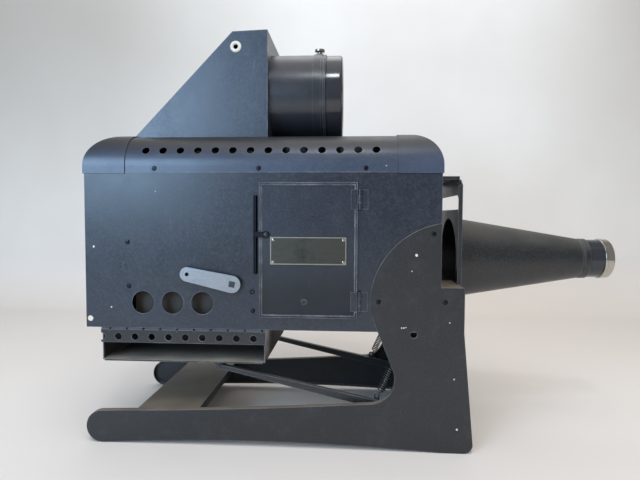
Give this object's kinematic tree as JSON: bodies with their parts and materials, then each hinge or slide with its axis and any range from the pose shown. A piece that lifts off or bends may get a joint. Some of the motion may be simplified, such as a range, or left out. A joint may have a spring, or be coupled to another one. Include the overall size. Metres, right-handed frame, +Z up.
{
  "type": "magic lantern",
  "caption": "Combination lantern for slides and opaque copy: vented lamphouse on a stand, sprung platen below, mirror hood with upper tube, long slide lens in front.",
  "frame": {"origin": "centre of the footprint of the overall box, on the table", "axes": "+Z up, +X from the casing towards the slide lens, +Y away from the door side"},
  "size_m": [0.7802, 0.2623, 0.5988],
  "materials": {
    "casing_enamel": "worn satin blue-grey enamel",
    "cover_enamel": "worn satin enamel, dusty brown-grey on top",
    "hood_enamel": "satin blue-slate enamel",
    "stand_enamel": "worn satin enamel with chips",
    "skirt_enamel": "satin enamel",
    "tube_enamel": "semi-gloss dark enamel",
    "lens_black": "gloss black enamel",
    "stage_enamel": "satin dark enamel",
    "arm_enamel": "satin enamel",
    "inner_black": "matt black paint",
    "screw_steel": "darkened steel",
    "plain_steel": "dull steel",
    "spring_steel": "dark spring steel",
    "nickel": "nickel plate, lightly tarnished",
    "lever_alloy": "bare, lightly scratched",
    "plate_alloy": "dull, faintly grained",
    "mirror": "front-silvered",
    "lens_glass": "polished, faintly coated",
    "bulb_glass": "clear, slightly smoked",
    "ceramic": "glazed cream",
    "eyelet_white": "off-white",
    "inlet_brown": "dark moulded"
  },
  "bodies": {
    "lantern": {"stand_plate_near": "stand_enamel", "stand_plate_far": "stand_enamel", "stand_tie_plate": "stand_enamel", "stand_front_cover": "stand_enamel", "stand_screws": "screw_steel", "arm_shaft": "plain_steel", "arm_shaft_bosses": "stand_enamel", "spring_anchors": "plain_steel", "casing_shell": "casing_enamel", "casing_rivets": "screw_steel", "air_hole_baffles": "inner_black", "copy_skirt": "skirt_enamel", "cover_centre": "cover_enamel", "cover_cap_rear": "cover_enamel", "cover_cap_front": "cover_enamel", "cover_screws": "screw_steel", "hood_shell": "hood_enamel", "hood_mirror": "mirror", "hood_mirror_clips": "plain_steel", "hood_eyelet": "eyelet_white", "opaque_tube": "tube_enamel", "tube_clamp_band": "tube_enamel", "stage_bracket": "stage_enamel", "stage_plate": "stage_enamel", "lens_cone": "stage_enamel", "condenser_cell": "inner_black", "condenser_lenses": "lens_glass", "lamp_bracket": "plain_steel", "lamp_socket": "ceramic", "lamp_bulb": "bulb_glass", "power_inlet": "inlet_brown", "hinge_fixed_leaves": "casing_enamel", "hinge_pins": "screw_steel", "latch_strip": "screw_steel", "lever_bushes": "plain_steel", "platen_spring_near": "spring_steel", "platen_spring_far": "spring_steel"},
    "door": {"door_panel": "casing_enamel", "hinge_door_leaves": "casing_enamel", "name_plate": "plate_alloy", "name_plate_screws": "nickel", "latch_screw": "plain_steel"},
    "latch": {"latch_tongue": "screw_steel"},
    "mirror_crank": {"mirror_lever": "lever_alloy", "lever_shaft": "plain_steel", "reflecting_shutter": "lever_alloy"},
    "platen_arms": {"platen_arms": "arm_enamel", "platen_pivot_rod": "plain_steel"},
    "platen": {"platen_pan": "skirt_enamel"},
    "opaque_barrel": {"opaque_barrel": "lens_black", "opaque_lens_front": "lens_glass", "opaque_lens_rear": "lens_glass"},
    "thumb_screw": {"thumb_screw": "nickel"},
    "slide_barrel": {"slide_barrel": "lens_black", "slide_bezel": "nickel", "slide_lens_front": "lens_glass", "slide_lens_rear": "lens_glass"}
  },
  "joints": [
    {"name": "door_hinge", "type": "hinge", "parent": "lantern", "child": "door", "pos_m": [0.00145, -0.12365, 0.279], "axis": [0, 0, 1], "range_deg": [0, 115]},
    {"name": "latch_turn", "type": "hinge", "parent": "door", "child": "latch", "pos_m": [-0.12805, -0.12515, 0.301], "axis": [0, 1, 0], "range_deg": [-90, 90]},
    {"name": "mirror_crank_turn", "type": "hinge", "parent": "lantern", "child": "mirror_crank", "pos_m": [-0.17475, 0.00375, 0.2319], "axis": [0, -1, 0], "range_deg": [0, 60]},
    {"name": "platen_lower", "type": "hinge", "parent": "lantern", "child": "platen_arms", "pos_m": [0.08245, 0.00375, 0.048], "axis": [0, -1, 0], "range_deg": [0, 10], "stiffness_Nm_per_rad": 6, "springref_deg": -45.84, "deforming": ["platen_spring_near", "platen_spring_far"]},
    {"name": "platen_level", "type": "hinge", "parent": "platen_arms", "child": "platen", "pos_m": [-0.19955, 0.00375, 0.1103], "axis": [0, -1, 0], "range_deg": [-10, 0]},
    {"name": "opaque_focus", "type": "slide", "parent": "lantern", "child": "opaque_barrel", "axis": [1, 0, 0], "range_m": [0, 0.06]},
    {"name": "thumb_screw_turn", "type": "hinge", "parent": "lantern", "child": "thumb_screw", "pos_m": [-0.06255, 0.00375, 0.585], "axis": [0, 0, 1], "range_deg": [-180, 180]},
    {"name": "slide_focus", "type": "slide", "parent": "lantern", "child": "slide_barrel", "axis": [1, 0, 0], "range_m": [0, 0.04]}
  ],
  "couplings": [
    {"joint": "platen_level", "follows": "platen_lower", "ratio": -1}
  ]
}
